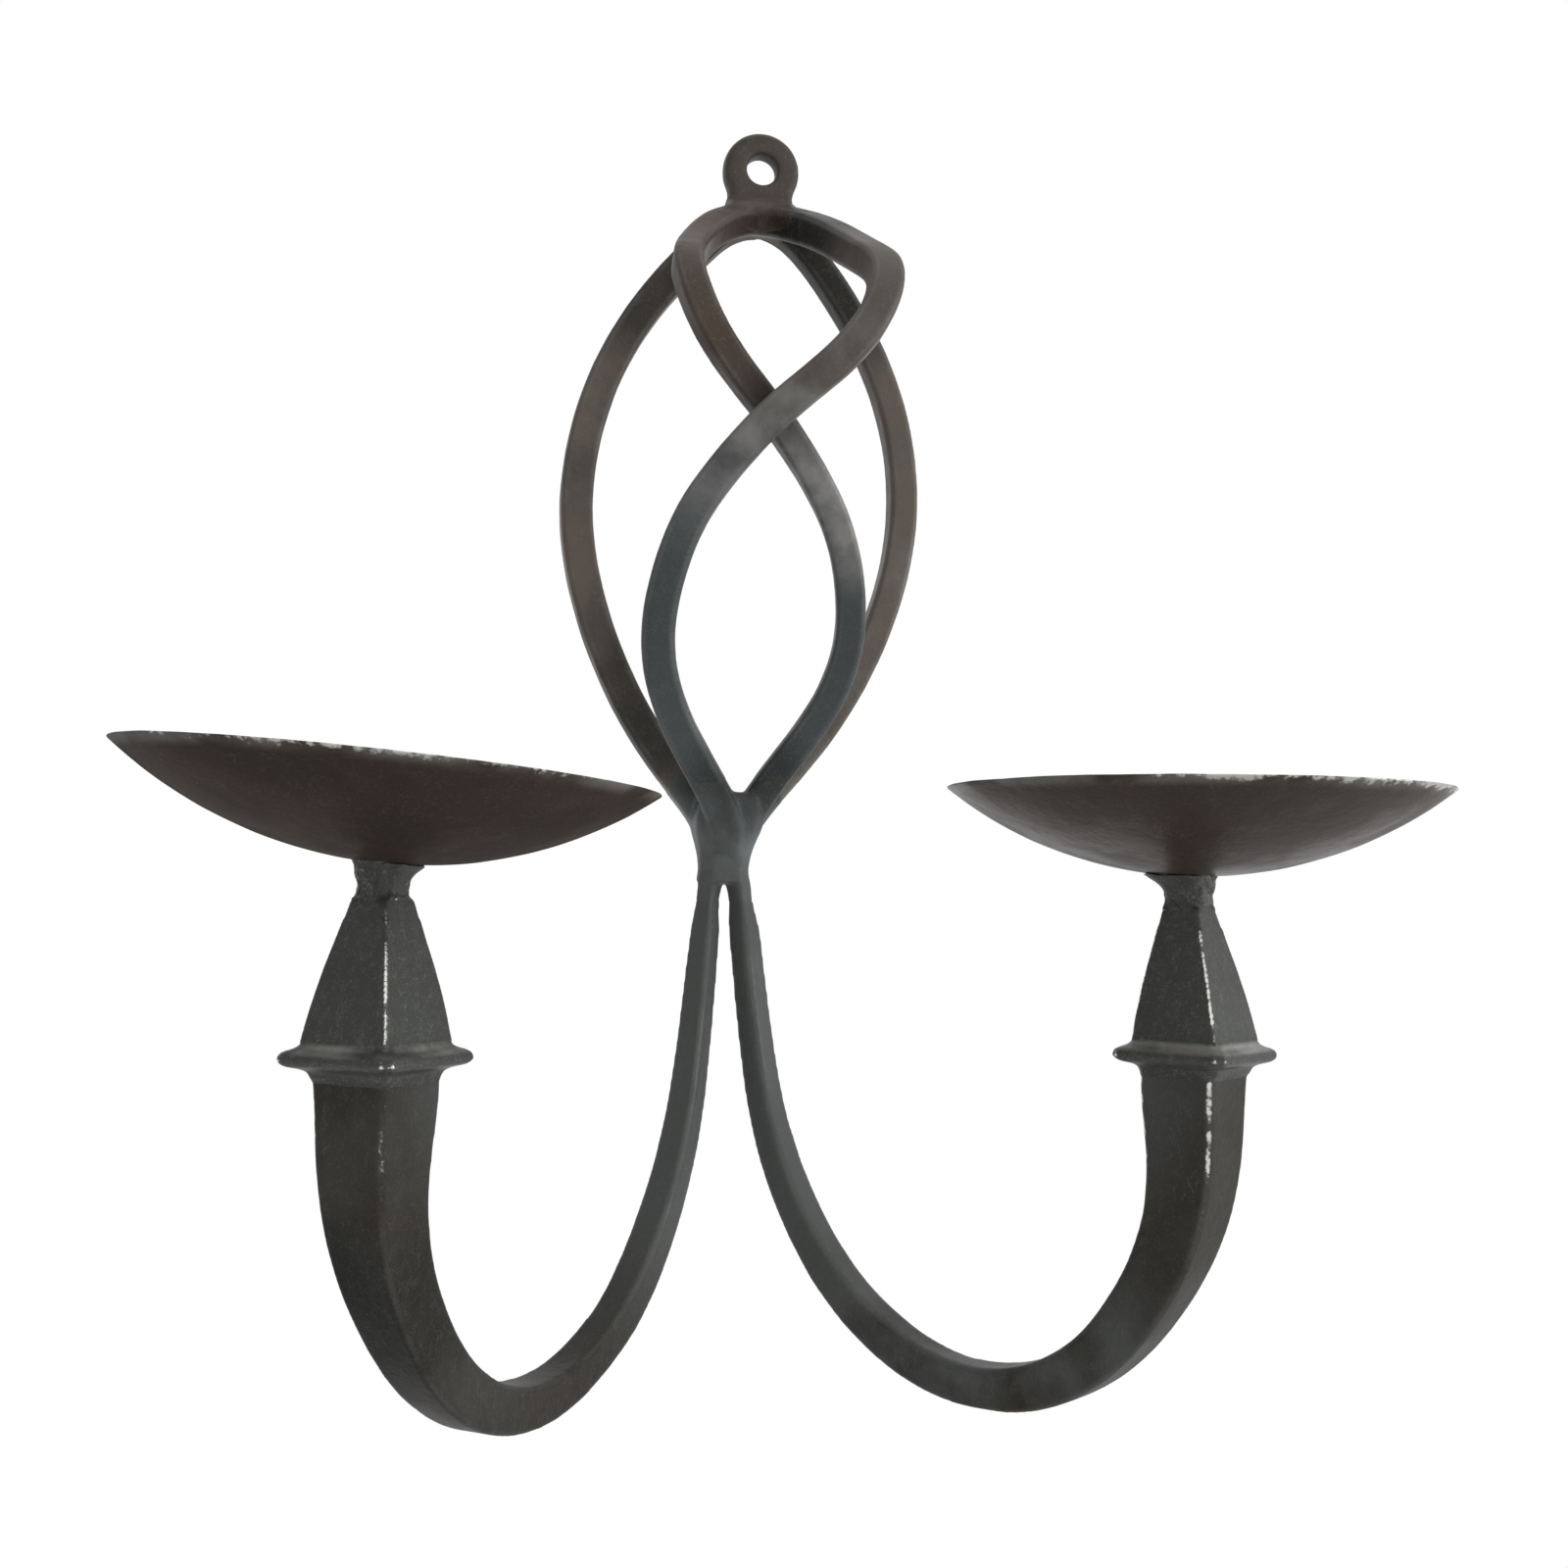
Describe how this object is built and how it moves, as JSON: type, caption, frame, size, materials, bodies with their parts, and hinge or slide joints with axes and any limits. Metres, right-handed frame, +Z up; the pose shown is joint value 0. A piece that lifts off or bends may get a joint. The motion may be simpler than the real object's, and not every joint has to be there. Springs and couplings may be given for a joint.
{
  "type": "candle wall light",
  "caption": "Forged iron candle wall light: a hanging eye, a cage of bowed bars that cross, and drawn arms that curve up to square blocks under candle dishes.",
  "frame": {"origin": "on the axis of the hanging eye's hole, at the wall plane", "axes": "+Z up, -Y out of the wall towards the room, +X to the right of someone facing the light"},
  "size_m": [0.2578, 0.1564, 0.2998],
  "materials": {
    "forged_iron": "blackened, hand forged, waxed",
    "block_iron": "blackened, bright worn ridges",
    "weld_metal": "rough forge weld, blackened",
    "dish_sheet": "blackened sheet, bright worn rim"
  },
  "bodies": {
    "root": {"hanging_eye": "forged_iron", "top_weld": "weld_metal", "foot_weld": "weld_metal", "rear_left_bar": "forged_iron", "rear_right_bar": "forged_iron", "front_over_bar": "forged_iron", "front_under_bar": "forged_iron", "left_arm": "forged_iron", "left_collar": "block_iron", "left_pyramid": "block_iron", "left_neck_weld": "weld_metal", "left_dish": "dish_sheet", "left_pricket": "dish_sheet", "right_arm": "forged_iron", "right_collar": "block_iron", "right_pyramid": "block_iron", "right_neck_weld": "weld_metal", "right_dish": "dish_sheet", "right_pricket": "dish_sheet"}
  },
  "joints": []
}
